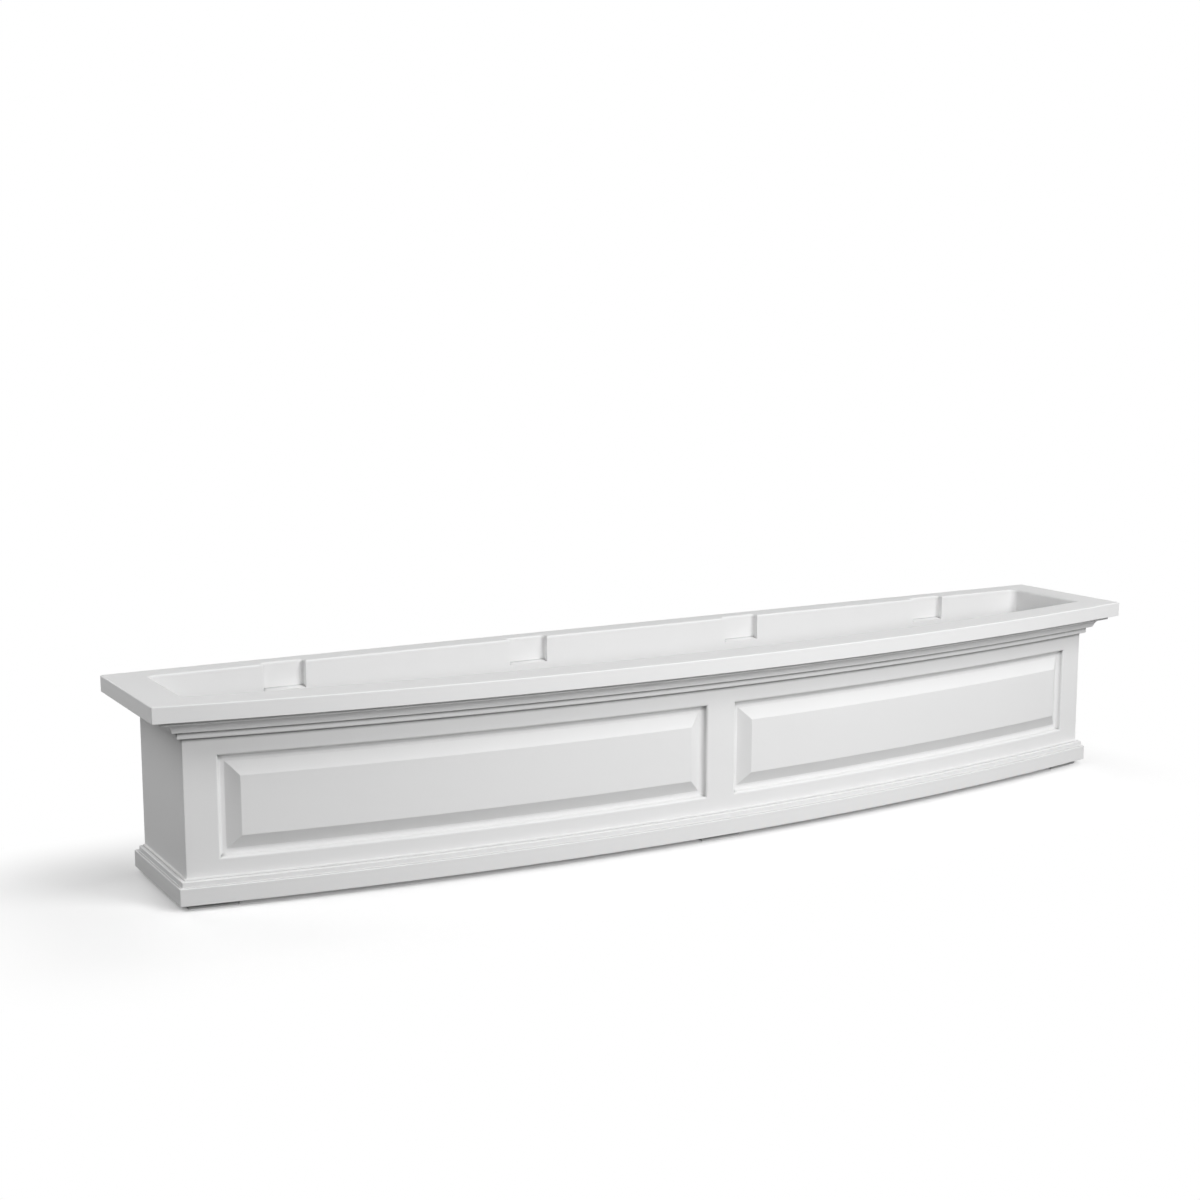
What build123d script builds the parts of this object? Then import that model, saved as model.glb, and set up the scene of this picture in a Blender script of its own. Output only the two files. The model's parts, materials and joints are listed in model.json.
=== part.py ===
from build123d import *
import math
import os

# A bow-fronted window box: a moulded planter with raised panels, its closing back panel,
# its feet and drain plugs, and the steel brackets that carry it on a wall.
# Millimetres. +Z is up, the front faces -Y, the origin is on the ground under the middle of the box.

# Overall form
rim_length = 1524.0
rim_depth = 292.5
rim_bow = 76.0
box_height = 251.5
foot_height = 7.0

# Skins of the moulding
wall = 4.0
floor_thickness = 5.0
back_land = 33.0
back_recess = 9.0

# Rim and crown, as offsets from the body's faces and drops from the rim's top
rim_thickness = 21.0
rim_overhang = 45.0
fascia_offset = 32.5
fascia_drop = 27.0
cove_top_offset = 24.5
cove_foot_offset = 15.2
cove_hollow = 1.6
cove_drop = 39.5
bead_offset = 7.5
bead_drop = 49.3

# Base moulding, as offsets from the body's faces and rises from its underside
plinth_offset = 11.0
plinth_rise = 21.9
step_offset = 7.3
step_rise = 29.2

# Edge roundings
rim_top_round = 1.8
bead_round = 3.2
step_fillet = 2.4
step_round = 4.0
plinth_round = 2.5
mouth_round = 3.0

# Trough
trough_back_corner = 10.0
trough_front_corner = 6.0
trough_floor_round = 6.0

# Panels in the front: outline of each recess and its sections, depths behind the body's face
end_stile = 38.0
centre_stile = 40.0
panel_top_drop = 70.5
panel_height = 130.7
arris_round = 3.2
cove_round = 4.5
panel_ledge = 3.3
bevel_width = 17.6
field_proud = 2.5

# Pockets moulded in the inner back wall, one over each bracket
pocket_end_inset = 183.6
pocket_count = 4
pocket_width = 57.5
pocket_depth = 10.4
pocket_drop = 36.0
pocket_ledge_slope = 2.4
pocket_corner = 4.0

# Back panel that closes the hollow back
panel_thickness = 4.0
panel_seat = 6.0
panel_gap = 0.4

# Feet
foot_length = 64.0
foot_width = 40.0
foot_draft = 2.7
foot_inset = 10.0
foot_end_inset = 10.0
foot_corner = 6.0
foot_key_length = 34.0
foot_key_width = 12.0
foot_key_height = 3.5
foot_key_gap = 0.15
rear_foot_inset = 5.0

# Drain plugs
drain_y = 10.0
drain_radius = 7.0
plug_gap = 0.2
plug_flange_radius = 12.0
plug_flange_height = 2.5
plug_tail = 2.0
plug_socket_radius = 4.0

# Wall brackets
bracket_width = 38.0
bracket_thickness = 4.0
bracket_reach = 165.0
bracket_headroom = 12.5
bracket_bend = 4.0
bracket_gap = 0.5
bracket_corner = 6.0
wall_hole_radius = 3.4
wall_hole_inset = 25.0
wall_hole_spacing = 140.0
bolt_radius = 3.0
bolt_gap = 0.3
bolt_head_radius = 6.0
bolt_head_height = 3.2
bolt_reach = 110.0
bolt_tail = 3.0
bolt_socket_flats = 4.0
bolt_socket_depth = 2.0
washer_radius = 9.0
washer_thickness = 1.6
nut_across_flats = 10.0
nut_height = 5.0

# Values worked out from the sizes above
top = foot_height + box_height
wall_face = rim_depth / 2
rim_radius = ((rim_length / 2) ** 2 + rim_bow ** 2) / (2 * rim_bow)
bow_centre = rim_radius - rim_depth / 2
body_radius = rim_radius - rim_overhang
body_half = rim_length / 2 - rim_overhang
body_back = wall_face - back_recess
trough_back = wall_face - back_land
floor_top = foot_height + floor_thickness
plinth_top = foot_height + plinth_rise
rim_under = top - rim_thickness
recess_depth = arris_round + cove_round
pocket_pitch = 2 * (body_half - pocket_end_inset) / (pocket_count - 1)
pocket_places = [pocket_end_inset - body_half + i * pocket_pitch for i in range(pocket_count)]
drain_places = [x + pocket_pitch / 2 for x in pocket_places[:-1]]
bracket_rise = rim_under - bracket_headroom - foot_height + bracket_thickness
wall_hole_low = bracket_rise + foot_height - bracket_thickness - wall_hole_inset - wall_hole_spacing
foot_end = rim_length / 2 - rim_overhang + plinth_offset - foot_end_inset - foot_length / 2
foot_places = [-foot_end, 0.0, foot_end]
rear_foot_y = wall_face - rear_foot_inset - foot_width / 2
bolt_y = wall_face - bolt_reach


def front_y(x, offset=0.0):
    """Y of the bowed front at x, the given offset outside the body's face."""
    return bow_centre - math.sqrt((body_radius + offset) ** 2 - x ** 2)


def block(x, y, z):
    """A box between the given pairs of limits."""
    size = Box(x[1] - x[0], y[1] - y[0], z[1] - z[0])
    return Pos((x[0] + x[1]) / 2, (y[0] + y[1]) / 2, (z[0] + z[1]) / 2) * size


def along_x(section, x, width):
    """Extrude a section, drawn as Y and Z, along X with x in its middle."""
    plane = Plane(origin=(x - width / 2, 0, 0), x_dir=(0, 1, 0), z_dir=(1, 0, 0))
    return extrude(plane * make_face(section), width)


def plan(offset, back):
    """The box's plan, the given offset outside the body, cut off at the back."""
    half = body_half + offset
    front = front_y(0, offset) - 1
    circle = Pos(0, bow_centre) * Circle(body_radius + offset)
    strip = Pos(0, (front + back) / 2) * Rectangle(2 * half, back - front)
    return circle & strip


def outside_profile():
    """The front's section, as offset from the body's face and height, from the plinth to the rim."""
    step_top = foot_height + step_rise
    bead_foot = top - bead_drop
    cove_foot = top - cove_drop
    cove_head = top - fascia_drop
    parts = [
        Line((-wall, foot_height), (plinth_offset, foot_height)),
        FilletPolyline(
            (plinth_offset, foot_height),
            (plinth_offset, plinth_top),
            (step_offset, plinth_top),
            radius=plinth_round,
        ),
        FilletPolyline(
            (step_offset, plinth_top),
            (step_offset, step_top),
            (0, step_top),
            (0, bead_foot),
            radius=[step_round, step_fillet],
        ),
        FilletPolyline(
            (0, bead_foot),
            (bead_offset, bead_foot),
            (bead_offset, cove_foot),
            radius=bead_round,
        ),
        Line((bead_offset, cove_foot), (cove_foot_offset, cove_foot)),
        SagittaArc((cove_foot_offset, cove_foot), (cove_top_offset, cove_head), cove_hollow),
        Polyline(
            (cove_top_offset, cove_head),
            (fascia_offset, cove_head),
            (fascia_offset, rim_under),
            (rim_overhang, rim_under),
        ),
        FilletPolyline(
            (rim_overhang, rim_under),
            (rim_overhang, top),
            (-wall, top),
            radius=rim_top_round,
        ),
    ]
    return [edge for part in parts for edge in part.edges()]


def along_front(section):
    """Turn a section, drawn as radius and height, about the bow's axis."""
    front_plane = Plane(origin=(0, bow_centre, 0), x_dir=(0, -1, 0), z_dir=(-1, 0, 0))
    axis = Axis((0, bow_centre, 0), (0, 0, 1))
    angle = 2 * math.degrees(math.asin(rim_length / body_radius))
    return revolve((front_plane * make_face(section)).rotate(axis, -angle / 2), axis, angle)


def outer_form():
    """The outside: the same section runs along the bow and returns, mitred, on both ends."""
    profile = outside_profile()
    inner = body_radius - 2 * rim_depth
    closing = Polyline(
        (body_radius - wall, top),
        (inner, top),
        (inner, foot_height),
        (body_radius - wall, foot_height),
    )
    bow = along_front([Pos(body_radius, 0) * edge for edge in profile] + closing.edges())
    right = [Pos(body_half, 0) * edge for edge in profile]
    left = [mirror(edge, Plane.YZ) for edge in right]
    across = [
        Line((wall - body_half, height), (body_half - wall, height)) for height in (foot_height, top)
    ]
    end_plane = Plane(origin=(0, wall_face, 0), x_dir=(1, 0, 0), z_dir=(0, -1, 0))
    ends = extrude(end_plane * make_face(left + right + across), 2 * rim_depth)
    return bow & ends


def panel_limits(side):
    """The outline of one recess in the front: X limits and Z limits at the body's face."""
    inner = centre_stile / 2
    outer = body_half - end_stile
    x_limits = (inner, outer) if side > 0 else (-outer, -inner)
    z_high = top - panel_top_drop
    return x_limits, (z_high - panel_height, z_high)


def at_face(x, inward):
    """Places by the front's face at x: distance along the face and height out of it."""
    turn = math.asin(x / body_radius)
    out = Vector(math.sin(turn), -math.cos(turn))
    along = Vector(math.cos(turn), math.sin(turn)) * inward
    return lambda u, h: Vector(x, front_y(x)) + along * u + out * h


def framed(side, section):
    """A form on one panel with the same edge section on its four sides, mitred in the corners."""
    x, z = panel_limits(side)
    low = section(lambda u, h: (body_radius + h, z[0] + u), False)
    high = section(lambda u, h: (body_radius + h, z[1] - u), False)
    band = along_front([*low, *high, Line(low[0] @ 0, high[0] @ 0), Line(low[-1] @ 1, high[-1] @ 1)])
    left = section(at_face(x[0], 1), True)
    right = section(at_face(x[1], -1), True)
    outline = [*left, *right, Line(left[0] @ 0, right[0] @ 0), Line(left[-1] @ 1, right[-1] @ 1)]
    sides = extrude(Pos(0, 0, z[0] - wall) * make_face(outline), z[1] - z[0] + 2 * wall)
    return band & sides


def recess_edge(place, deep):
    """A rounded arris and the cove below it; the deep form runs on past the recess's floor."""
    half = math.sqrt(0.5)
    floor_start = arris_round + cove_round
    edges = [
        Line(place(0, rim_overhang), place(0, 0)),
        ThreePointArc(
            place(0, 0),
            place(arris_round * half, arris_round * (half - 1)),
            place(arris_round, -arris_round),
        ),
        ThreePointArc(
            place(arris_round, -arris_round),
            place(floor_start - cove_round * half, -arris_round - cove_round * half),
            place(floor_start, -recess_depth),
        ),
    ]
    if deep:
        edges.append(Line(place(floor_start, -recess_depth), place(floor_start, -recess_depth - wall)))
    return edges


def bevel(place, low, high, sink):
    """The straight bevel of a raised field between two heights, sunk behind its true place."""
    slope = bevel_width / (recess_depth + field_proud)
    start = recess_depth + panel_ledge
    return Line(*[place(start + (h + recess_depth + sink) * slope, h) for h in (low, high)])


def field_edge(place, deep):
    """The bevel of a raised field, from under the recess's floor to the field's face."""
    if deep:
        return [bevel(place, -recess_depth - 2 * wall, rim_overhang, 0)]
    return [bevel(place, -recess_depth - wall / 2, field_proud, 0)]


def hollow_edge(place, deep):
    """The same bevel inside the trough, one wall's thickness behind the field."""
    slope = bevel_width / (recess_depth + field_proud)
    sink = wall * math.hypot(1, 1 / slope)
    if deep:
        return [bevel(place, -recess_depth - 4 * wall, rim_overhang, sink)]
    return [bevel(place, -recess_depth - 2 * wall, field_proud - wall, sink)]


def trough():
    """The planting space, as the solid to be cut out; it follows the backs of the panels."""
    height = top - floor_top
    space = extrude(Pos(0, 0, floor_top) * plan(-wall, trough_back), height)
    upright = space.edges().filter_by(Axis.Z)
    space = fillet(upright.group_by(Axis.Y)[-1], trough_back_corner)
    upright = space.edges().filter_by(Axis.Z)
    space = fillet(upright.group_by(Axis.Y)[0], trough_front_corner)
    floor_edges = space.faces().sort_by(Axis.Z)[0].edges()
    space = fillet(floor_edges, trough_floor_round)
    behind = extrude(plan(-recess_depth - wall, trough_back), top)
    skin = space - behind
    for side in (-1, 1):
        x, z = panel_limits(side)
        x_pad = (x[0] - wall, x[1] + wall)
        z_pad = (z[0] - wall, z[1] + wall)
        space -= skin & block(x_pad, (-rim_depth, wall_face), z_pad)
        space += framed(side, hollow_edge)
    return space


def pocket(x):
    """A pocket in the inner back wall, open at the rim, with a ledge that slopes up to the back."""
    ledge = top - pocket_drop
    back = trough_back + pocket_depth
    section = Polyline(
        (trough_back - wall, ledge),
        (trough_back, ledge),
        (back, ledge + pocket_ledge_slope),
        (back, top),
        (trough_back - wall, top),
        close=True,
    )
    form = along_x(section, x, pocket_width)
    upright = form.edges().filter_by(Axis.Z).group_by(Axis.Y)[-1]
    return fillet(upright, pocket_corner)


def back_space(grow):
    """Outline of the hollow behind the inner back wall, grown by the given amount."""
    half = body_half - wall - panel_seat + grow
    edge = wall + panel_seat - grow
    return (-half, half), (plinth_top + edge, rim_under - edge)


def hollow_back():
    """The space behind the inner back wall, cut back around the pockets by one wall's thickness."""
    x_limits, z_limits = back_space(0)
    space = block(x_limits, (trough_back + wall, body_back), z_limits)
    half = pocket_width / 2 + wall
    depth = trough_back + pocket_depth + wall
    ledge = top - pocket_drop - wall
    for x in pocket_places:
        space -= block((x - half, x + half), (trough_back, depth), (ledge, top))
    return space


def planter_shell():
    """The moulded box with its panels, trough, pockets, hollow back, notches and holes."""
    form = outer_form()
    form -= block((-rim_length, rim_length), (body_back, rim_depth), (plinth_top, rim_under))
    for side in (-1, 1):
        form -= framed(side, recess_edge)
    for side in (-1, 1):
        form += framed(side, field_edge)
    form -= trough()
    mouth = form.faces().filter_by(Plane.XY).sort_by(Axis.Z)[-1].inner_wires()[0]
    form = fillet(mouth.edges(), mouth_round)
    for x in pocket_places:
        form -= pocket(x)
    form -= hollow_back()
    x, z = back_space(panel_seat)
    form -= block(x, (body_back - panel_thickness, body_back), z)
    for x in pocket_places:
        form -= bracket_notch(x)
        form -= Pos(x, bolt_y, foot_height) * disc(bolt_radius + bolt_gap, floor_thickness)
    for x in drain_places:
        form -= Pos(x, drain_y, foot_height) * disc(drain_radius, floor_thickness)
    for x in foot_places:
        form -= key(x, front_foot_y(x), foot_key_gap)
        form -= key(x, rear_foot_y, foot_key_gap)
    return form


def disc(radius, depth):
    """A round form that stands on z = 0."""
    return extrude(Circle(radius), depth)


def bracket_notch(x):
    """The notch in the plinth's back that lets a bracket's upright lie flush with the wall."""
    half = bracket_width / 2 + bracket_gap
    y_face = wall_face - bracket_thickness - bracket_gap
    section = Polyline(
        (wall_face, foot_height),
        (y_face - bracket_bend, foot_height),
        (y_face, foot_height + bracket_bend),
        (y_face, plinth_top),
        (wall_face, plinth_top),
        close=True,
    )
    return along_x(section, x, 2 * half)


def back_panel():
    """The sheet that closes the hollow back, seated in its rebate."""
    x, z = back_space(panel_seat - panel_gap)
    return block(x, (body_back - panel_thickness, body_back), z)


def front_foot_y(x):
    """Y of the middle of a front foot at x."""
    return front_y(x, plinth_offset - foot_inset) + foot_width / 2


def key(x, y, gap=0.0):
    """The key on a foot that plugs into the underside of the floor, or with a gap its slot."""
    half_length = foot_key_length / 2 + gap
    half_width = foot_key_width / 2 + gap
    x_limits = (x - half_length, x + half_length)
    y_limits = (y - half_width, y + half_width)
    return block(x_limits, y_limits, (foot_height, foot_height + foot_key_height + gap))


def tapered(x, y):
    """The wedge-ended blank of a foot: longer at the top than on the ground."""
    half = foot_length / 2
    section = Polyline(
        (x - half, foot_height),
        (x + half, foot_height),
        (x + half - foot_draft, 0),
        (x - half + foot_draft, 0),
        close=True,
    )
    face = Plane(origin=(0, y[1], 0), x_dir=(1, 0, 0), z_dir=(0, -1, 0)) * make_face(section)
    return extrude(face, y[1] - y[0])


def front_foot(x):
    """A foot whose front and back edges follow the bow of the plinth."""
    offset = plinth_offset - foot_inset
    front_radius = body_radius + offset
    strip = Pos(0, bow_centre) * (Circle(front_radius) - Circle(front_radius - foot_width))
    middle = front_foot_y(x)
    band = extrude(strip, foot_height)
    form = band & tapered(x, (middle - foot_width, middle + foot_width))
    return form + key(x, middle)


def rear_foot(x):
    """A straight foot near the wall."""
    y = (rear_foot_y - foot_width / 2, rear_foot_y + foot_width / 2)
    return tapered(x, y) + key(x, rear_foot_y)


def drain_plug():
    """A push-in plug with a flange on the floor and a hollow stem."""
    stem = Pos(0, 0, -plug_tail) * disc(drain_radius - plug_gap, floor_thickness + plug_tail)
    flange = Pos(0, 0, floor_thickness) * disc(plug_flange_radius, plug_flange_height)
    socket = Pos(0, 0, -plug_tail) * disc(plug_socket_radius, floor_thickness + plug_tail)
    return stem + flange - socket


def bracket(x):
    """A steel angle: one arm flat on the wall, one under the floor, holes in both."""
    y_end = wall_face - bracket_reach
    z_low = foot_height - bracket_thickness
    section = Polyline(
        (wall_face, z_low),
        (wall_face, z_low + bracket_rise),
        (wall_face - bracket_thickness, z_low + bracket_rise),
        (wall_face - bracket_thickness, foot_height),
        (y_end, foot_height),
        (y_end, z_low),
        close=True,
    )
    form = along_x(section, x, bracket_width)
    inner_corner = Vector(x, wall_face - bracket_thickness, foot_height)
    outer_corner = Vector(x, wall_face, z_low)
    bends = ((inner_corner, bracket_bend), (outer_corner, bracket_bend + bracket_thickness))
    for corner, radius in bends:
        along = form.edges().filter_by(Axis.X)
        nearest = along.sort_by(lambda edge: (edge @ 0.5 - corner).length)[0]
        form = fillet(nearest, radius)
    form = fillet(form.edges().filter_by(Axis.Y).group_by(Axis.Z)[-1], bracket_corner)
    form = fillet(form.edges().filter_by(Axis.Z).group_by(Axis.Y)[0], bracket_corner)
    for height in (wall_hole_low, wall_hole_low + wall_hole_spacing):
        place = Plane(origin=(x, wall_face, height), x_dir=(1, 0, 0), z_dir=(0, -1, 0))
        form -= place * disc(wall_hole_radius, bracket_thickness)
    return form - Pos(x, bolt_y, z_low) * bolt_blank()


def bolt_blank():
    """A countersunk bolt without its socket, head down, standing on its head."""
    cone = Pos(0, 0, bolt_head_height / 2) * Cone(bolt_head_radius, bolt_radius, bolt_head_height)
    length = bracket_thickness + floor_thickness + washer_thickness + nut_height + bolt_tail
    return cone + disc(bolt_radius, length)


def bracket_bolt():
    """A countersunk bolt with a hexagon socket in its head."""
    socket = RegularPolygon(bolt_socket_flats / 2, 6, major_radius=False)
    return bolt_blank() - extrude(socket, bolt_socket_depth)


def washer():
    return disc(washer_radius, washer_thickness) - disc(bolt_radius + bolt_gap, washer_thickness)


def nut():
    outline = RegularPolygon(nut_across_flats / 2, 6, major_radius=False)
    return extrude(outline, nut_height) - disc(bolt_radius, nut_height)


def at_bolts(form, height):
    """One copy of a fastener at each of the bolt places, its base at the given height."""
    return Compound([Pos(x, bolt_y, height) * form for x in pocket_places])


if __name__ == "__main__":
    os.makedirs("parts", exist_ok=True)
    names = ("left", "middle", "right")
    bracket_names = ("outer_left", "inner_left", "inner_right", "outer_right")
    nodes = {
        "planter_shell": planter_shell(),
        "back_panel": back_panel(),
        "drain_plugs": Compound([Pos(x, drain_y, foot_height) * drain_plug() for x in drain_places]),
        "bracket_bolts": at_bolts(bracket_bolt(), foot_height - bracket_thickness),
        "bracket_washers": at_bolts(washer(), floor_top),
        "bracket_nuts": at_bolts(nut(), floor_top + washer_thickness),
    }
    for name, x in zip(names, foot_places):
        nodes[f"front_{name}_foot"] = front_foot(x)
        nodes[f"rear_{name}_foot"] = rear_foot(x)
    for name, x in zip(bracket_names, pocket_places):
        nodes[f"{name}_wall_bracket"] = bracket(x)
    for node, form in nodes.items():
        export_step(form, f"parts/{node}.step")
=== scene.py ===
import math

import bmesh
import bpy
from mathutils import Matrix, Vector
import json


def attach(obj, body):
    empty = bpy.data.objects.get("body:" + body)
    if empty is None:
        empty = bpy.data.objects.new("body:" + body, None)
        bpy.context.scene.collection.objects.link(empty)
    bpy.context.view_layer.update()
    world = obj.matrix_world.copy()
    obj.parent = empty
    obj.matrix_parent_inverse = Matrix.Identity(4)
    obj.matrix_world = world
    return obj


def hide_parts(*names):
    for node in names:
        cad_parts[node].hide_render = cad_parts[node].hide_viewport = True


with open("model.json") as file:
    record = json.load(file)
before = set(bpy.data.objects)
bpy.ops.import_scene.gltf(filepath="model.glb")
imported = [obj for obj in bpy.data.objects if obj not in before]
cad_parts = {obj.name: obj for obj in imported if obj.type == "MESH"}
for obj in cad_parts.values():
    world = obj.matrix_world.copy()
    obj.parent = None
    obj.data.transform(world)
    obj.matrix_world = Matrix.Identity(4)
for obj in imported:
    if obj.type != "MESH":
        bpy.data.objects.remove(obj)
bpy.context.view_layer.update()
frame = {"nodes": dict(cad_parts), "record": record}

# Looks of a bow-fronted window box: its moulded skin is drawn here in fine detail, as one closed
# mesh, and the other pieces are the frame's own. The skin's sizes are in millimetres, and MM
# brings them to metres.
MM = 0.001

# Overall form, as in the frame
RIM_LENGTH = 1524.0
RIM_DEPTH = 292.5
RIM_BOW = 76.0
TOP = 258.5
FOOT_HEIGHT = 7.0
WALL = 4.0
FLOOR_THICKNESS = 5.0
BACK_LAND = 33.0
BACK_RECESS = 9.0
RIM_OVERHANG = 45.0

# Front's section: offsets outside the body's face and heights over the ground
RIM_UNDER = TOP - 21.0
COVE_HEAD = TOP - 27.0
COVE_FOOT = TOP - 39.5
BEAD_FOOT = TOP - 49.3
FASCIA_OFFSET = 32.5
COVE_TOP_OFFSET = 24.5
COVE_FOOT_OFFSET = 15.2
COVE_HOLLOW = 1.6
BEAD_OFFSET = 7.5
PLINTH_OFFSET = 11.0
PLINTH_TOP = FOOT_HEIGHT + 21.9
STEP_OFFSET = 7.3
STEP_TOP = FOOT_HEIGHT + 29.2
FILLET_OFFSET = 2.6
FILLET_RISER = 0.8
TOP_RUN = 6.0

# Roundings of that section's corners, from the plinth up to the cove and from the cove up
LOWER_ROUNDS = (1.0, 1.2, 1.2, 1.4, 0, 0, FILLET_OFFSET - 0.1, 0.6, 1.6, 0.6)
UPPER_ROUNDS = (0.8, 0.8, 1.0, 1.8)

# Panels
PANEL_INNER = 20.0
PANEL_OUTER = 679.0
PANEL_HIGH = TOP - 70.5
PANEL_LOW = PANEL_HIGH - 130.7
ARRIS = 3.2
COVE = 4.5
LEDGE = 3.3
BEVEL = 17.6
PROUD = 2.5
FIELD_ROUNDS = (2.5, 3.0)
FIELD_RUN = 60.0

# Pockets, trough and mouth
POCKETS = (-533.4, -177.8, 177.8, 533.4)
POCKET_HALF = 28.75
POCKET_DEPTH = 10.4
POCKET_LEDGE = TOP - 36.0
POCKET_SLOPE = 2.4
POCKET_CORNER = 4.0
TROUGH_BACK_CORNER = 10.0
TROUGH_FRONT_CORNER = 6.0
TROUGH_FLOOR_ROUND = 6.0
MOUTH_ROUND = 3.0
CORNER_ROUND = 1.5

# Back of the shell
BACK_PANEL = 4.0
NOTCH_HALF = 19.5
NOTCH_DEPTH = 4.5
NOTCH_CHAMFER = 4.0

# Fineness of the mesh: steps to a rounding, a bow or an edge, and rows up a panel
ROUND_STEPS = 5
FIELD_STEPS = 3
HOLLOW_STEPS = 10
PANEL_STEPS = 24
PANEL_ROWS = 10
CORNER_STEPS = 5
BACK_CORNER_STEPS = 6
EDGE_STEPS = 5
ARRIS_STEPS = 6
COVE_STEPS = 6
POCKET_STEPS = 5
SHARP_ANGLE = 25

# Closeness: for comparing heights, for dropping a repeated point and for joining points
NEAR = 0.01
SAME = 0.004
JOIN = 0.01

# Worked out from the sizes above
WALL_FACE = RIM_DEPTH / 2
RIM_RADIUS = ((RIM_LENGTH / 2) ** 2 + RIM_BOW ** 2) / (2 * RIM_BOW)
BOW_CENTRE = RIM_RADIUS - RIM_DEPTH / 2
BODY_RADIUS = RIM_RADIUS - RIM_OVERHANG
BODY_HALF = RIM_LENGTH / 2 - RIM_OVERHANG
BODY_BACK = WALL_FACE - BACK_RECESS
TROUGH_BACK = WALL_FACE - BACK_LAND
FLOOR_TOP = FOOT_HEIGHT + FLOOR_THICKNESS
RECESS = ARRIS + COVE


def arc(centre, radius, start, end, steps):
    """Points on an arc between two angles in degrees, both ends included."""
    angles = [math.radians(start + (end - start) * i / steps) for i in range(steps + 1)]
    return [(centre[0] + radius * math.cos(a), centre[1] + radius * math.sin(a)) for a in angles]


def quarter(steps):
    """The angles of a quarter turn in equal steps, both ends included."""
    return [math.radians(90 * i / steps) for i in range(steps + 1)]


def rounded(points, radii, steps=ROUND_STEPS):
    """The points of an open outline with its inner corners rounded."""
    out = [points[0]]
    for i, radius in enumerate(radii, 1):
        here = Vector(points[i])
        before = (Vector(points[i - 1]) - here).normalized()
        after = (Vector(points[i + 1]) - here).normalized()
        if radius == 0:
            out.append(tuple(here))
            continue
        half = before.angle(after) / 2
        centre = here + (before + after).normalized() * radius / math.sin(half)
        start = here + before * radius / math.tan(half) - centre
        end = here + after * radius / math.tan(half) - centre
        first = math.degrees(math.atan2(start.y, start.x))
        turn = math.degrees(math.atan2(end.y, end.x)) - first
        turn = (turn + 180) % 360 - 180
        out += arc(centre, radius, first, first + turn, steps)
    out.append(points[-1])
    return out


def front_profile():
    """The front's outside as offset and height, from under the plinth to the top of the rim."""
    lower = rounded(
        [
            (-WALL, FOOT_HEIGHT),
            (PLINTH_OFFSET, FOOT_HEIGHT),
            (PLINTH_OFFSET, PLINTH_TOP),
            (STEP_OFFSET, PLINTH_TOP),
            (STEP_OFFSET, STEP_TOP),
            (FILLET_OFFSET, STEP_TOP),
            (FILLET_OFFSET, STEP_TOP + FILLET_RISER),
            (0, STEP_TOP + FILLET_RISER),
            (0, BEAD_FOOT),
            (BEAD_OFFSET, BEAD_FOOT),
            (BEAD_OFFSET, COVE_FOOT),
            (COVE_FOOT_OFFSET, COVE_FOOT),
        ],
        LOWER_ROUNDS,
    )
    chord = Vector((COVE_TOP_OFFSET - COVE_FOOT_OFFSET, COVE_HEAD - COVE_FOOT))
    inward = Vector((-chord.y, chord.x)).normalized() * COVE_HOLLOW
    hollow = []
    for i in range(1, HOLLOW_STEPS):
        t = i / HOLLOW_STEPS
        foot = Vector((COVE_FOOT_OFFSET, COVE_FOOT)) + chord * t
        hollow.append(tuple(foot + inward * (4 * t * (1 - t))))
    upper = rounded(
        [
            (COVE_TOP_OFFSET, COVE_HEAD),
            (FASCIA_OFFSET, COVE_HEAD),
            (FASCIA_OFFSET, RIM_UNDER),
            (RIM_OVERHANG, RIM_UNDER),
            (RIM_OVERHANG, TOP),
            (RIM_OVERHANG - TOP_RUN, TOP),
        ],
        UPPER_ROUNDS,
    )
    return lower + hollow + upper[:-1]


def spot(angle, radius):
    """A place in plan, at an angle and a distance from the middle of the bow's arc."""
    return radius * math.sin(angle), BOW_CENTRE - radius * math.cos(angle)


def front_angles(limits, count):
    """Equal steps along the bow between two places in X on the body's face."""
    low, high = (math.asin(x / BODY_RADIUS) for x in limits)
    return [low + (high - low) * i / count for i in range(count + 1)]


LEFT_ANGLES = front_angles((-PANEL_OUTER, -PANEL_INNER), PANEL_STEPS)
RIGHT_ANGLES = front_angles((PANEL_INNER, PANEL_OUTER), PANEL_STEPS)
LEFT_BACKS = front_angles((-PANEL_OUTER - WALL, -PANEL_INNER + WALL), PANEL_STEPS)
RIGHT_BACKS = front_angles((PANEL_INNER - WALL, PANEL_OUTER + WALL), PANEL_STEPS)


def corner(offset, radius):
    """The rounded right-hand corner between the bow and the end, from the bow to the end."""
    x = BODY_HALF + offset - radius
    reach = BODY_RADIUS + offset
    y = BOW_CENTRE - math.sqrt((reach - radius) ** 2 - x ** 2)
    start = math.degrees(math.atan2(y - BOW_CENTRE, x))
    return arc((x, y), radius, start, 0, CORNER_STEPS)


def course(offset, radius, end_places):
    """One level line round the front and both ends, from the left end's back to the right's."""
    right = corner(offset, radius) + [(BODY_HALF + offset, y) for y in end_places]
    left = [(-x, y) for x, y in reversed(right)]
    front = [spot(angle, BODY_RADIUS + offset) for angle in LEFT_ANGLES + [0.0] + RIGHT_ANGLES]
    return left + front + right


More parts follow.
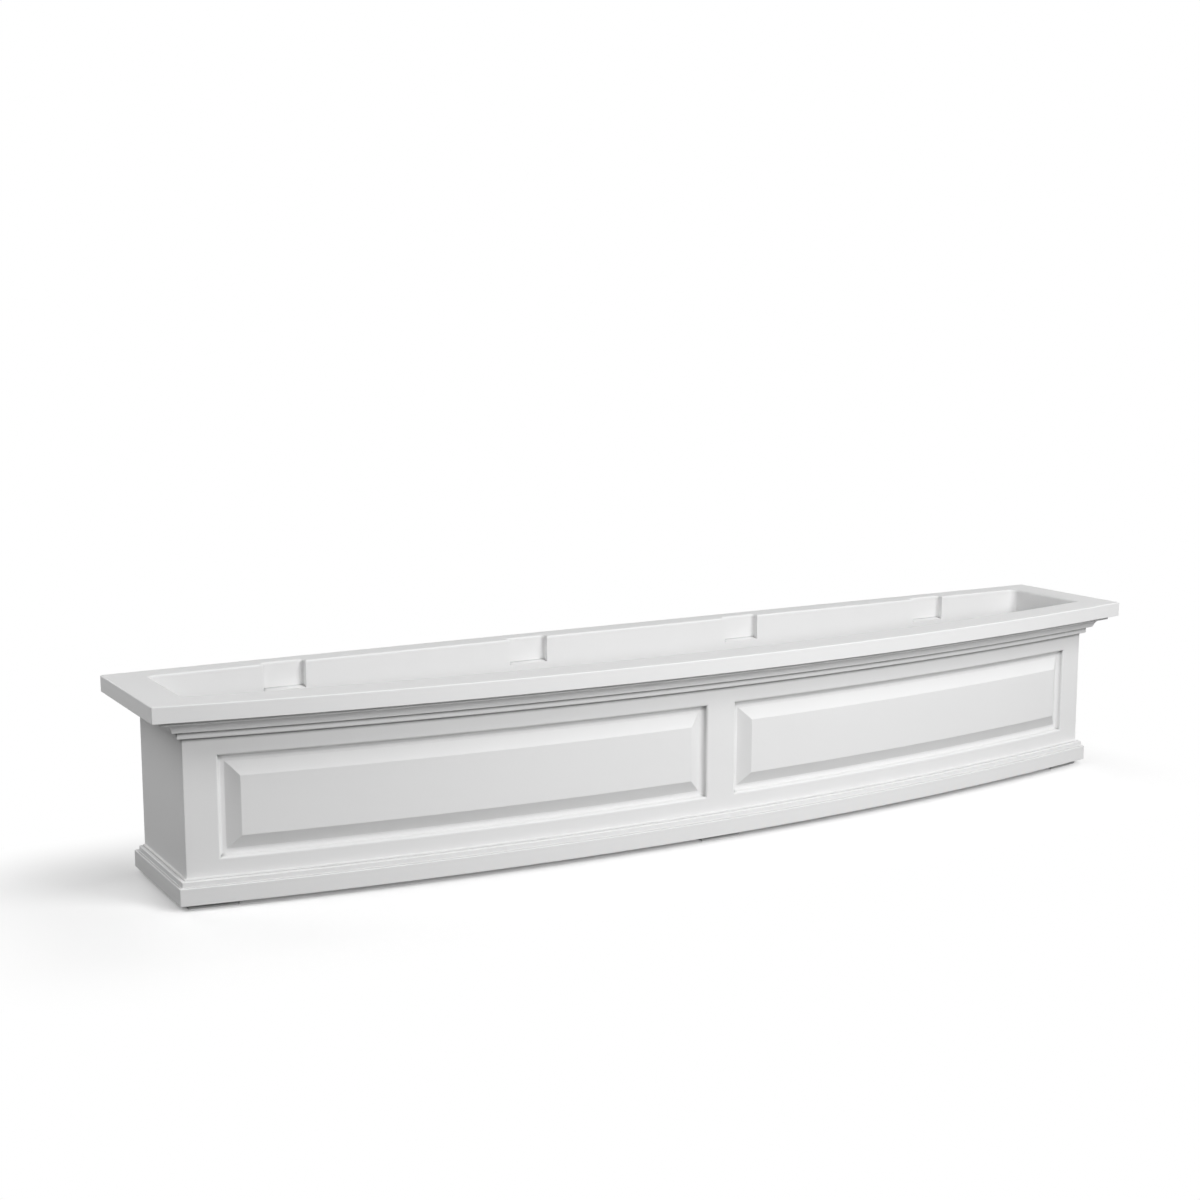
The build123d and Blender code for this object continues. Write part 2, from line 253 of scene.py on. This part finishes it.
class Skin:
    """A mesh that is put together from rows of points."""

    def __init__(self):
        self.mesh = bmesh.new()

    def point(self, place):
        """A new point of the mesh, brought to metres."""
        return self.mesh.verts.new(Vector(place) * MM)

    def face(self, points):
        """A face through the points, without those that repeat an earlier one."""
        places = []
        for place in points:
            if all((Vector(place) - Vector(other)).length > SAME for other in places):
                places.append(place)
        if len(places) > 2:
            self.mesh.faces.new([self.point(place) for place in places])

    def strip(self, first, second, skip=()):
        """Quads between two rows of points, leaving out the cells whose number is in skip."""
        for i in range(len(first) - 1):
            if i not in skip:
                self.face((first[i], first[i + 1], second[i + 1], second[i]))

    def finish(self, name):
        """Join the points, turn the faces outward and put the mesh into the scene."""
        bmesh.ops.remove_doubles(self.mesh, verts=self.mesh.verts, dist=JOIN * MM)
        bmesh.ops.recalc_face_normals(self.mesh, faces=self.mesh.faces)
        data = bpy.data.meshes.new(name)
        self.mesh.to_mesh(data)
        self.mesh.free()
        piece = bpy.data.objects.new(name, data)
        bpy.context.scene.collection.objects.link(piece)
        return piece


def level(points, z):
    """The points of a plan outline, all at one height."""
    return [(x, y, z) for x, y in points]


def panel_levels(low, high):
    """The heights of a panel's rows, both ends included."""
    return [low + (high - low) * i / PANEL_ROWS for i in range(PANEL_ROWS + 1)]


def panel(skin, angles, base, rings, limits):
    """Nested mitred frames on one stretch of the bow, each an inset and a height over its base."""
    z_low, z_high = limits
    frames = []
    for inset, height in rings:
        radius = base + height
        turn = inset / BODY_RADIUS
        first, last = angles[0] + turn, angles[-1] - turn
        across = [first + (last - first) * i / (len(angles) - 1) for i in range(len(angles))]
        up = panel_levels(z_low + inset, z_high - inset)
        frames.append([[(*spot(a, radius), z) for a in across] for z in up])
    for outer, inner in zip(frames, frames[1:]):
        skin.strip(outer[0], inner[0])
        skin.strip(outer[-1], inner[-1])
        skin.strip([row[0] for row in outer], [row[0] for row in inner])
        skin.strip([row[-1] for row in outer], [row[-1] for row in inner])
    for below, above in zip(frames[-1], frames[-1][1:]):
        skin.strip(below, above)


def pocket_outline(place, grow):
    """The outline of one pocket in plan, grown into the land by the rounding of its mouth."""
    half = POCKET_HALF + grow
    front = TROUGH_BACK + grow
    back = TROUGH_BACK + POCKET_DEPTH + grow
    radius = POCKET_CORNER + grow
    right = arc((half - radius, back - radius), radius, 90, 0, POCKET_STEPS)
    right.append((half, front))
    left = [(-x, y) for x, y in reversed(right)]
    return [(place + x, y) for x, y in left + right]


def back_line(grow, pockets):
    """The trough's back edge in plan from left to right, with or without the pockets."""
    line = []
    for place in POCKETS:
        if pockets:
            line += pocket_outline(place, grow)
        else:
            line += [(place + side, TROUGH_BACK + grow) for side in (-POCKET_HALF, POCKET_HALF)]
    return line


def mouth_course(grow):
    """The trough's edge round the front and ends; grow moves it out into the rim."""
    turn = corner(-WALL + grow, TROUGH_FRONT_CORNER + grow)
    back = TROUGH_BACK - TROUGH_BACK_CORNER
    inset = BODY_HALF - WALL - TROUGH_BACK_CORNER
    rear = arc((inset, back), TROUGH_BACK_CORNER + grow, 0, 90, BACK_CORNER_STEPS)
    right = turn + rear
    left = [(-x, y) for x, y in reversed(right)]
    radius = BODY_RADIUS - WALL + grow
    front = [spot(angle, radius) for angle in LEFT_BACKS + [0.0] + RIGHT_BACKS]
    return left + front + right


# Places in Y on the ends, level with the points of the mouth's back corner
END_PLACES = [
    TROUGH_BACK - TROUGH_BACK_CORNER + (TROUGH_BACK_CORNER + MOUTH_ROUND) * math.sin(angle)
    for angle in quarter(BACK_CORNER_STEPS)
]


def front_cells(row_start):
    """The numbers of the cells of a course that lie on the left and on the right panel."""
    left = range(row_start, row_start + PANEL_STEPS)
    right = range(row_start + PANEL_STEPS + 2, row_start + 2 * PANEL_STEPS + 2)
    return set(left) | set(right)


def mirrored(points):
    """The points on the other side of the middle."""
    return [(-x, *rest) for x, *rest in points]


def draw_outside(skin):
    """The front and ends from plinth to rim, with the panels; returns the section's rows."""
    rows = front_profile()[1:]
    foot = next(i for i, row in enumerate(rows) if row[1] > PLINTH_TOP - NEAR)
    rim = next(i for i, row in enumerate(rows) if row[1] > RIM_UNDER - NEAR)
    body = next(i for i, row in enumerate(rows) if row[1] > PANEL_LOW)
    rows[body:body] = [(0.0, z) for z in panel_levels(PANEL_LOW, PANEL_HIGH)]
    rim += PANEL_ROWS + 1
    cells = front_cells(CORNER_STEPS + 1 + len(END_PLACES) + 1)
    spans = ((0, foot, WALL_FACE), (foot, rim, BODY_BACK), (rim, len(rows) - 1, WALL_FACE))
    for start, stop, back in spans:
        places = END_PLACES + [back]
        span = rows[start : stop + 1]
        lines = [level(course(offset, CORNER_ROUND, places), z) for offset, z in span]
        for i, (below, above) in enumerate(zip(lines, lines[1:]), start):
            on_panel = rows[i][1] > PANEL_LOW - NEAR and rows[i + 1][1] < PANEL_HIGH + NEAR
            skin.strip(below, above, cells if on_panel else ())
    turn = quarter(ARRIS_STEPS)[:-1]
    edge = [(ARRIS * math.sin(a), ARRIS * (math.cos(a) - 1)) for a in turn]
    edge += arc((RECESS, -ARRIS), COVE, 180, 270, COVE_STEPS)
    field = rounded(
        [
            (RECESS, -RECESS),
            (RECESS + LEDGE, -RECESS),
            (RECESS + LEDGE + BEVEL, PROUD),
            (FIELD_RUN, PROUD),
        ],
        FIELD_ROUNDS,
        FIELD_STEPS,
    )
    for angles in (LEFT_ANGLES, RIGHT_ANGLES):
        panel(skin, angles, BODY_RADIUS, edge + field[1:-1], (PANEL_LOW, PANEL_HIGH))
    return rows, foot, rim


def draw_rim(skin, offset):
    """The top of the rim and the rounded edge of its mouth, which runs on round the pockets."""
    outer = level(course(offset, CORNER_ROUND, END_PLACES), TOP)
    skin.strip(outer, level(mouth_course(MOUTH_ROUND), TOP))
    half = BODY_HALF + offset
    inset = BODY_HALF - WALL - TROUGH_BACK_CORNER
    y = TROUGH_BACK + MOUTH_ROUND
    line = [(-half, y), (-inset, y), *back_line(MOUTH_ROUND, True), (inset, y), (half, y)]
    skin.strip(level(line, TOP), level([(x, WALL_FACE) for x, _ in line], TOP))
    loops = []
    for a in quarter(EDGE_STEPS):
        grow = MOUTH_ROUND * (1 - math.cos(a))
        z = TOP - MOUTH_ROUND + MOUTH_ROUND * math.sin(a)
        ring = mouth_course(grow) + back_line(grow, True)[::-1]
        loops.append(level(ring + ring[:1], z))
    for lower, upper in zip(loops, loops[1:]):
        skin.strip(lower, upper)


def draw_trough(skin):
    """The inside: ends, inner back wall with its pockets, backs of the panels, and the floor."""
    mouth = TOP - MOUTH_ROUND
    floor_start = FLOOR_TOP + TROUGH_FLOOR_ROUND
    low, high = PANEL_LOW - WALL, PANEL_HIGH + WALL
    heights = [floor_start, *panel_levels(low, high), mouth]
    cells = front_cells(CORNER_STEPS + 1 + BACK_CORNER_STEPS + 1)
    path = mouth_course(0)
    for below, above in zip(heights, heights[1:]):
        on_panel = below > low - NEAR and above < high + NEAR
        skin.strip(level(path, below), level(path, above), cells if on_panel else ())
    slope = BEVEL / (RECESS + PROUD)
    sink = WALL * math.hypot(1, 1 / slope)
    start = WALL + RECESS + LEDGE + (sink - WALL) * slope
    rings = [(0, 0), (0, -RECESS), (start, -RECESS), (start + (RECESS + PROUD) * slope, PROUD)]
    for angles in (LEFT_BACKS, RIGHT_BACKS):
        panel(skin, angles, BODY_RADIUS - WALL, rings, (low, high))
    inset = BODY_HALF - WALL - TROUGH_BACK_CORNER
    flat = [(-inset, TROUGH_BACK), *back_line(0, False), (inset, TROUGH_BACK)]
    skin.strip(level(flat, floor_start), level(flat, POCKET_LEDGE))
    for left, right in zip(flat[::2], flat[1::2]):
        skin.strip(level((left, right), POCKET_LEDGE), level((left, right), mouth))
    for place in POCKETS:
        outline = pocket_outline(place, 0)
        rise = POCKET_SLOPE / POCKET_DEPTH
        ledge = [(x, y, POCKET_LEDGE + rise * (y - TROUGH_BACK)) for x, y in outline]
        skin.strip(ledge, level(outline, mouth))
        skin.face(ledge)
    loops = []
    for a in quarter(EDGE_STEPS):
        grow = TROUGH_FLOOR_ROUND * (math.cos(a) - 1)
        ring = mouth_course(grow) + back_line(grow, False)[::-1]
        loops.append(level(ring + ring[:1], floor_start - TROUGH_FLOOR_ROUND * math.sin(a)))
    for upper, lower in zip(loops, loops[1:]):
        skin.strip(upper, lower)
    skin.face(loops[-1][:-1])


def draw_back(skin, rows, foot, rim):
    """The back and the underside: plinth with its notches, recessed back, rim, and floor."""
    deep = WALL_FACE - NOTCH_DEPTH
    sides = [side for place in POCKETS for side in (place - NOTCH_HALF, place + NOTCH_HALF)]
    half = BODY_HALF + rows[foot][0]
    underside = (deep - NOTCH_CHAMFER, BODY_HALF + rows[0][0], FOOT_HEIGHT)
    for depth, width, z in (underside, (deep, half, PLINTH_TOP)):
        line = []
        for left, right in zip(sides[::2], sides[1::2]):
            line += [(left, WALL_FACE), (left, depth), (right, depth), (right, WALL_FACE)]
        line = [(-width, WALL_FACE), *line, (width, WALL_FACE)]
        if z == FOOT_HEIGHT:
            front = course(rows[0][0], CORNER_ROUND, END_PLACES)
            skin.face(level(line + front[::-1], z))
        else:
            skin.face(level(line + [(width, BODY_BACK), (-width, BODY_BACK)], z))
    end = [(-BODY_HALF - offset, WALL_FACE, z) for offset, z in rows[: foot + 1]]
    end += [(sides[0], WALL_FACE, PLINTH_TOP), (sides[0], WALL_FACE, FOOT_HEIGHT)]
    skin.face(end)
    skin.face(mirrored(end))
    for left, right in zip(sides[1::2], sides[2::2]):
        upright = [(x, WALL_FACE, z) for x, z in ((left, FOOT_HEIGHT), (right, FOOT_HEIGHT))]
        skin.strip(upright, [(x, y, PLINTH_TOP) for x, y, _ in upright])
    wedge = [
        (WALL_FACE, FOOT_HEIGHT),
        (deep - NOTCH_CHAMFER, FOOT_HEIGHT),
        (deep, FOOT_HEIGHT + NOTCH_CHAMFER),
        (deep, PLINTH_TOP),
        (WALL_FACE, PLINTH_TOP),
    ]
    for left, right in zip(sides[::2], sides[1::2]):
        walls = [[(x, y, z) for y, z in wedge] for x in (left, right)]
        skin.face(walls[0])
        skin.face(walls[1])
        skin.strip(walls[0][1:4], walls[1][1:4])
    hole = BODY_HALF - WALL
    low, high = PLINTH_TOP + WALL, RIM_UNDER - WALL
    end = [(-BODY_HALF - offset, BODY_BACK, z) for offset, z in rows[foot : rim + 1]]
    end += [(-hole, BODY_BACK, RIM_UNDER), (-hole, BODY_BACK, PLINTH_TOP)]
    skin.face(end)
    skin.face(mirrored(end))
    for bottom, top in ((PLINTH_TOP, low), (high, RIM_UNDER)):
        edges = [[(-hole, BODY_BACK, z), (hole, BODY_BACK, z)] for z in (bottom, top)]
        skin.strip(*edges)
    frame_line = [(-hole, low), (hole, low), (hole, high), (-hole, high), (-hole, low)]
    skin.strip(
        [(x, BODY_BACK, z) for x, z in frame_line],
        [(x, BODY_BACK - BACK_PANEL, z) for x, z in frame_line],
    )
    under = BODY_HALF + rows[rim][0]
    skin.strip(
        [(-under, BODY_BACK, RIM_UNDER), (under, BODY_BACK, RIM_UNDER)],
        [(-under, WALL_FACE, RIM_UNDER), (under, WALL_FACE, RIM_UNDER)],
    )
    left = [(-BODY_HALF - offset, WALL_FACE, z) for offset, z in rows[rim:]]
    skin.face(left + mirrored(left)[::-1])


def smooth(piece, degrees):
    """Smooth shading that keeps the edges sharper than the given angle, and flat faces flat."""
    for face in piece.data.polygons:
        face.use_smooth = True
    piece.data.set_sharp_from_angle(angle=math.radians(degrees))
    weigh = piece.modifiers.new("even_normals", "WEIGHTED_NORMAL")
    weigh.keep_sharp = True
    weigh.weight = 100


def moulded_shell():
    """The box's whole moulding, drawn as one closed skin."""
    skin = Skin()
    rows, foot, rim = draw_outside(skin)
    draw_rim(skin, rows[-1][0])
    draw_trough(skin)
    draw_back(skin, rows, foot, rim)
    shell = skin.finish("moulded_shell")
    smooth(shell, SHARP_ANGLE)
    return shell


# Looks of the materials; distances in metres
MOTTLE_SCALE = 9.0
MOTTLE_DETAIL = 3.0
GRAIN_SCALE = 700.0
GRAIN_DETAIL = 2.0
GRAIN_HEIGHT = 0.0003
PLASTIC_SPECULAR = 0.1
# Painted shade in creases and under overhangs: its reach, samples, upward tilt of the normal, and
# the occlusion range it spans
PAINTED_SHADE_REACH = 0.007
PAINTED_SHADE_SAMPLES = 12
PAINTED_SHADE_UPWARD = (0, 0, 0.7)
PAINTED_SHADE_CLOSED = 0.3
PAINTED_SHADE_OPEN = 0.85
GLOSS_SCALE = 120.0
GLOSS_SPREAD = 0.06


def node_tree(owner):
    """The node tree of a new material or world."""
    owner.use_nodes = True
    return owner.node_tree


def fill(tree, node, inputs):
    """Set a node's inputs, each to a constant or to a link from another node's output."""
    for key, value in inputs.items():
        if isinstance(value, bpy.types.NodeSocket):
            tree.links.new(value, node.inputs[key])
        else:
            node.inputs[key].default_value = value


def add(tree, kind, inputs=()):
    """A new node with its inputs set."""
    node = tree.nodes.new(kind)
    fill(tree, node, dict(inputs))
    return node


def vector(tree, operation, first, second=(0, 0, 0)):
    """The outcome of one step of vector arithmetic."""
    step = tree.nodes.new("ShaderNodeVectorMath")
    step.operation = operation
    fill(tree, step, {0: first, 1: second})
    return step.outputs["Value" if operation == "LENGTH" else "Vector"]


def mixed(tree, factor, first, second, blend="MIX"):
    """Two colours, mixed or blended."""
    mix = tree.nodes.new("ShaderNodeMix")
    mix.data_type = "RGBA"
    mix.blend_type = blend
    fill(tree, mix, {"Factor": factor, "A": first, "B": second})
    return mix.outputs["Result"]


def painted_crease_shade(tree, depth):
    """Painted shade: one in the open, and down to 1 - depth where something close overhangs the
    surface.
    """
    skin = add(tree, "ShaderNodeNewGeometry")
    raised = vector(tree, "ADD", skin.outputs["Normal"], PAINTED_SHADE_UPWARD)
    upward = vector(tree, "NORMALIZE", raised)
    inputs = {"Distance": PAINTED_SHADE_REACH, "Normal": upward}
    nearby = add(tree, "ShaderNodeAmbientOcclusion", inputs)
    nearby.samples = PAINTED_SHADE_SAMPLES
    inputs = {
        "Value": nearby.outputs["AO"],
        "From Min": PAINTED_SHADE_CLOSED,
        "From Max": PAINTED_SHADE_OPEN,
        "To Min": 1 - depth,
    }
    return add(tree, "ShaderNodeMapRange", inputs).outputs["Result"]


def plastic(name, colour, roughness, grain, mottle=0.012, painted_shade_depth=0.0):
    """Matt plastic: a faintly mottled colour, with painted shade in creases and under overhangs,
    and a fine grain in relief.
    """
    material = bpy.data.materials.new(name)
    tree = node_tree(material)
    place = add(tree, "ShaderNodeTexCoord").outputs["Object"]
    inputs = {"Vector": place, "Scale": MOTTLE_SCALE, "Detail": MOTTLE_DETAIL}
    cloud = add(tree, "ShaderNodeTexNoise", inputs)
    darker = (*[c * (1 - mottle) for c in colour], 1)
    lighter = (*[min(1, c * (1 + mottle)) for c in colour], 1)
    tint = mixed(tree, cloud.outputs["Fac"], darker, lighter)
    inputs = {"Vector": place, "Scale": GRAIN_SCALE, "Detail": GRAIN_DETAIL}
    fine = add(tree, "ShaderNodeTexNoise", inputs)
    inputs = {"Strength": grain, "Distance": GRAIN_HEIGHT, "Height": fine.outputs["Fac"]}
    relief = add(tree, "ShaderNodeBump", inputs)
    inputs = {
        # The base colour is multiplied by the painted shade of creases and overhangs
        "Base Color": mixed(tree, 1.0, tint, painted_crease_shade(tree, painted_shade_depth), "MULTIPLY"),
        "Normal": relief.outputs["Normal"],
        "Roughness": roughness,
        "Specular IOR Level": PLASTIC_SPECULAR,
    }
    fill(tree, tree.nodes["Principled BSDF"], inputs)
    return material


def metal(name, colour, roughness, metallic):
    """Painted or bare steel with a faint unevenness in its gloss."""
    material = bpy.data.materials.new(name)
    tree = node_tree(material)
    place = add(tree, "ShaderNodeTexCoord").outputs["Object"]
    streak = add(tree, "ShaderNodeTexNoise", {"Vector": place, "Scale": GLOSS_SCALE})
    inputs = {
        "Value": streak.outputs["Fac"],
        "To Min": roughness - GLOSS_SPREAD,
        "To Max": roughness + GLOSS_SPREAD,
    }
    gloss = add(tree, "ShaderNodeMapRange", inputs)
    inputs = {
        "Roughness": gloss.outputs["Result"],
        "Base Color": (*colour, 1),
        "Metallic": metallic,
    }
    fill(tree, tree.nodes["Principled BSDF"], inputs)
    return material


def paint(piece, material):
    """Give a piece its only material and the slot that goes with it."""
    piece.data.materials.clear()
    piece.data.materials.append(material)


# The shell's and the feet's plastic carry painted shade in creases and under overhangs
white = plastic("white_plastic", (0.80, 0.80, 0.80), 0.45, 0.25, painted_shade_depth=0.9)
sheet_white = plastic("sheet_plastic", (0.74, 0.74, 0.73), 0.45, 0.05)
# The feet's white is set a touch darker than the shell's as painted shade
foot_white_painted_shade = plastic("foot_plastic", (0.74, 0.74, 0.74), 0.6, 0.2, painted_shade_depth=0.9)
dark_rubber = plastic("dark_rubber", (0.03, 0.03, 0.03), 0.7, 0.3, 0.2)
white_paint = metal("white_powder_coat", (0.78, 0.78, 0.78), 0.42, 0.0)
steel = metal("plain_steel", (0.56, 0.56, 0.57), 0.34, 1.0)

shell = moulded_shell()
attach(shell, "root")
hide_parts("planter_shell")
paint(shell, white)

FINISHES = {
    "back_sheet": sheet_white,
    "foot_pad": foot_white_painted_shade,
    "drain_plug": dark_rubber,
    "bracket_steel": white_paint,
    "fastener_steel": steel,
}
slots = {part["node"]: part["material_slot"] for part in frame["record"]["subparts"]}
for node, piece in frame["nodes"].items():
    if node != "planter_shell":
        paint(piece, FINISHES[slots[node]])


# Camera, fitted to the photo's perspective
CAMERA_PLACE = (-1.34282, -2.09815, 0.70608)
CAMERA_YAW = math.radians(30.045)
CAMERA_PITCH = math.radians(8.983)
CAMERA_LENS = 54.966
CAMERA_SENSOR = 36.0

camera_data = bpy.data.cameras.new("camera")
camera_data.lens = CAMERA_LENS
camera_data.sensor_width = CAMERA_SENSOR
camera = bpy.data.objects.new("camera", camera_data)
camera.location = CAMERA_PLACE
camera.rotation_euler = (math.radians(90) - CAMERA_PITCH, 0, -CAMERA_YAW)
bpy.context.scene.collection.objects.link(camera)
bpy.context.scene.camera = camera

# Lamps: name, place, width and height, watts; all of them face one place inside the box
LAMP_TARGET = Vector((0.0, -0.05, 0.13))
LAMPS = (
    ("key_lamp", (1.332, -2.101, 2.492), (1.2, 1.2), 46.0),
    ("front_lamp", (0.186, -2.174, 0.992), (1.2, 0.8), 34.5),
    ("left_lamp", (-2.289, -0.25, 2.058), (1.6, 1.6), 28.0),
    ("right_lamp", (2.6, 0.5, 0.9), (1.2, 1.2), 16.0),
    ("back_lamp", (-1.2, 2.7, 0.9), (1.6, 1.2), 24.0),
)


def lamp(name, place, size, watts):
    """A soft rectangular lamp."""
    data = bpy.data.lights.new(name, "AREA")
    data.shape = "RECTANGLE"
    data.size, data.size_y = size
    data.energy = watts
    light = bpy.data.objects.new(name, data)
    light.location = place
    light.rotation_euler = (LAMP_TARGET - Vector(place)).to_track_quat("-Z", "Y").to_euler()
    bpy.context.scene.collection.objects.link(light)


for row in LAMPS:
    lamp(*row)

# World and floor: strengths and greys; the part of the floor that keeps the shadow, in metres
WORLD_STRENGTH = 0.02
WHITE_STRENGTH = 1.0
FLOOR_HALF = 12.0
FLOOR_GREY = (0.18, 0.18, 0.18, 1)
SHADOW_GREY = (0.92, 0.92, 0.92, 1)
SHADOW_LIFT = 0.15
SHADOW_FOOT = (0.72, 0.12, 0.0)
SHADOW_SHIFT = (0.08, 0.0, 0.0)
SHADOW_REACH = 0.22


def shown(tree):
    """One for a ray that shows the background: from the camera, off metal or through glass."""
    ray = add(tree, "ShaderNodeLightPath")
    most = ray.outputs["Is Camera Ray"]
    for kind in ("Is Glossy Ray", "Is Transmission Ray"):
        step = add(tree, "ShaderNodeMath", {0: most, 1: ray.outputs[kind]})
        step.operation = "MAXIMUM"
        most = step.outputs["Value"]
    return most


def pale_world():
    """White where it is shown; as a light on the object it is even and faint."""
    world = bpy.data.worlds.new("studio")
    tree = node_tree(world)
    inputs = {"Value": shown(tree), "To Min": WORLD_STRENGTH, "To Max": WHITE_STRENGTH}
    strength = add(tree, "ShaderNodeMapRange", inputs)
    inputs = {"Color": (1, 1, 1, 1), "Strength": strength.outputs["Result"]}
    fill(tree, tree.nodes["Background"], inputs)
    bpy.context.scene.world = world


def shadow_fade(tree):
    """Zero where the floor keeps the object's shadow, rising to one a short way from its foot."""
    place = add(tree, "ShaderNodeTexCoord").outputs["Object"]
    beside = vector(tree, "ABSOLUTE", vector(tree, "ADD", place, SHADOW_SHIFT))
    outside = vector(tree, "MAXIMUM", vector(tree, "SUBTRACT", beside, SHADOW_FOOT))
    away = vector(tree, "LENGTH", outside)
    fade = add(tree, "ShaderNodeMapRange", {"Value": away, "From Max": SHADOW_REACH})
    fade.interpolation_type = "SMOOTHSTEP"
    return fade.outputs["Result"]


def shader_mix(tree, factor, first, second):
    """The first shader where the factor is zero, and the second where it is one."""
    return add(tree, "ShaderNodeMixShader", {0: factor, 1: first, 2: second}).outputs["Shader"]


def pale_floor():
    """A wide floor that shows white, but for the shadow close round the object."""
    mesh = bmesh.new()
    bmesh.ops.create_grid(mesh, x_segments=1, y_segments=1, size=FLOOR_HALF)
    data = bpy.data.meshes.new("floor")
    mesh.to_mesh(data)
    mesh.free()
    floor = bpy.data.objects.new("floor", data)
    bpy.context.scene.collection.objects.link(floor)
    material = bpy.data.materials.new("floor_white")
    tree = node_tree(material)
    tree.nodes.remove(tree.nodes["Principled BSDF"])
    plain = add(tree, "ShaderNodeBsdfDiffuse", {"Color": FLOOR_GREY}).outputs["BSDF"]
    bright = add(tree, "ShaderNodeBsdfDiffuse", {"Color": SHADOW_GREY}).outputs["BSDF"]
    lift = add(tree, "ShaderNodeEmission", {"Strength": SHADOW_LIFT}).outputs["Emission"]
    shadow = add(tree, "ShaderNodeAddShader", {0: bright, 1: lift}).outputs["Shader"]
    far = add(tree, "ShaderNodeEmission", {"Strength": WHITE_STRENGTH}).outputs["Emission"]
    seen = shader_mix(tree, shadow_fade(tree), shadow, far)
    surface = shader_mix(tree, shown(tree), plain, seen)
    fill(tree, tree.nodes["Material Output"], {"Surface": surface})
    floor.data.materials.append(material)


pale_world()
pale_floor()
bpy.context.scene.view_settings.view_transform = "Standard"
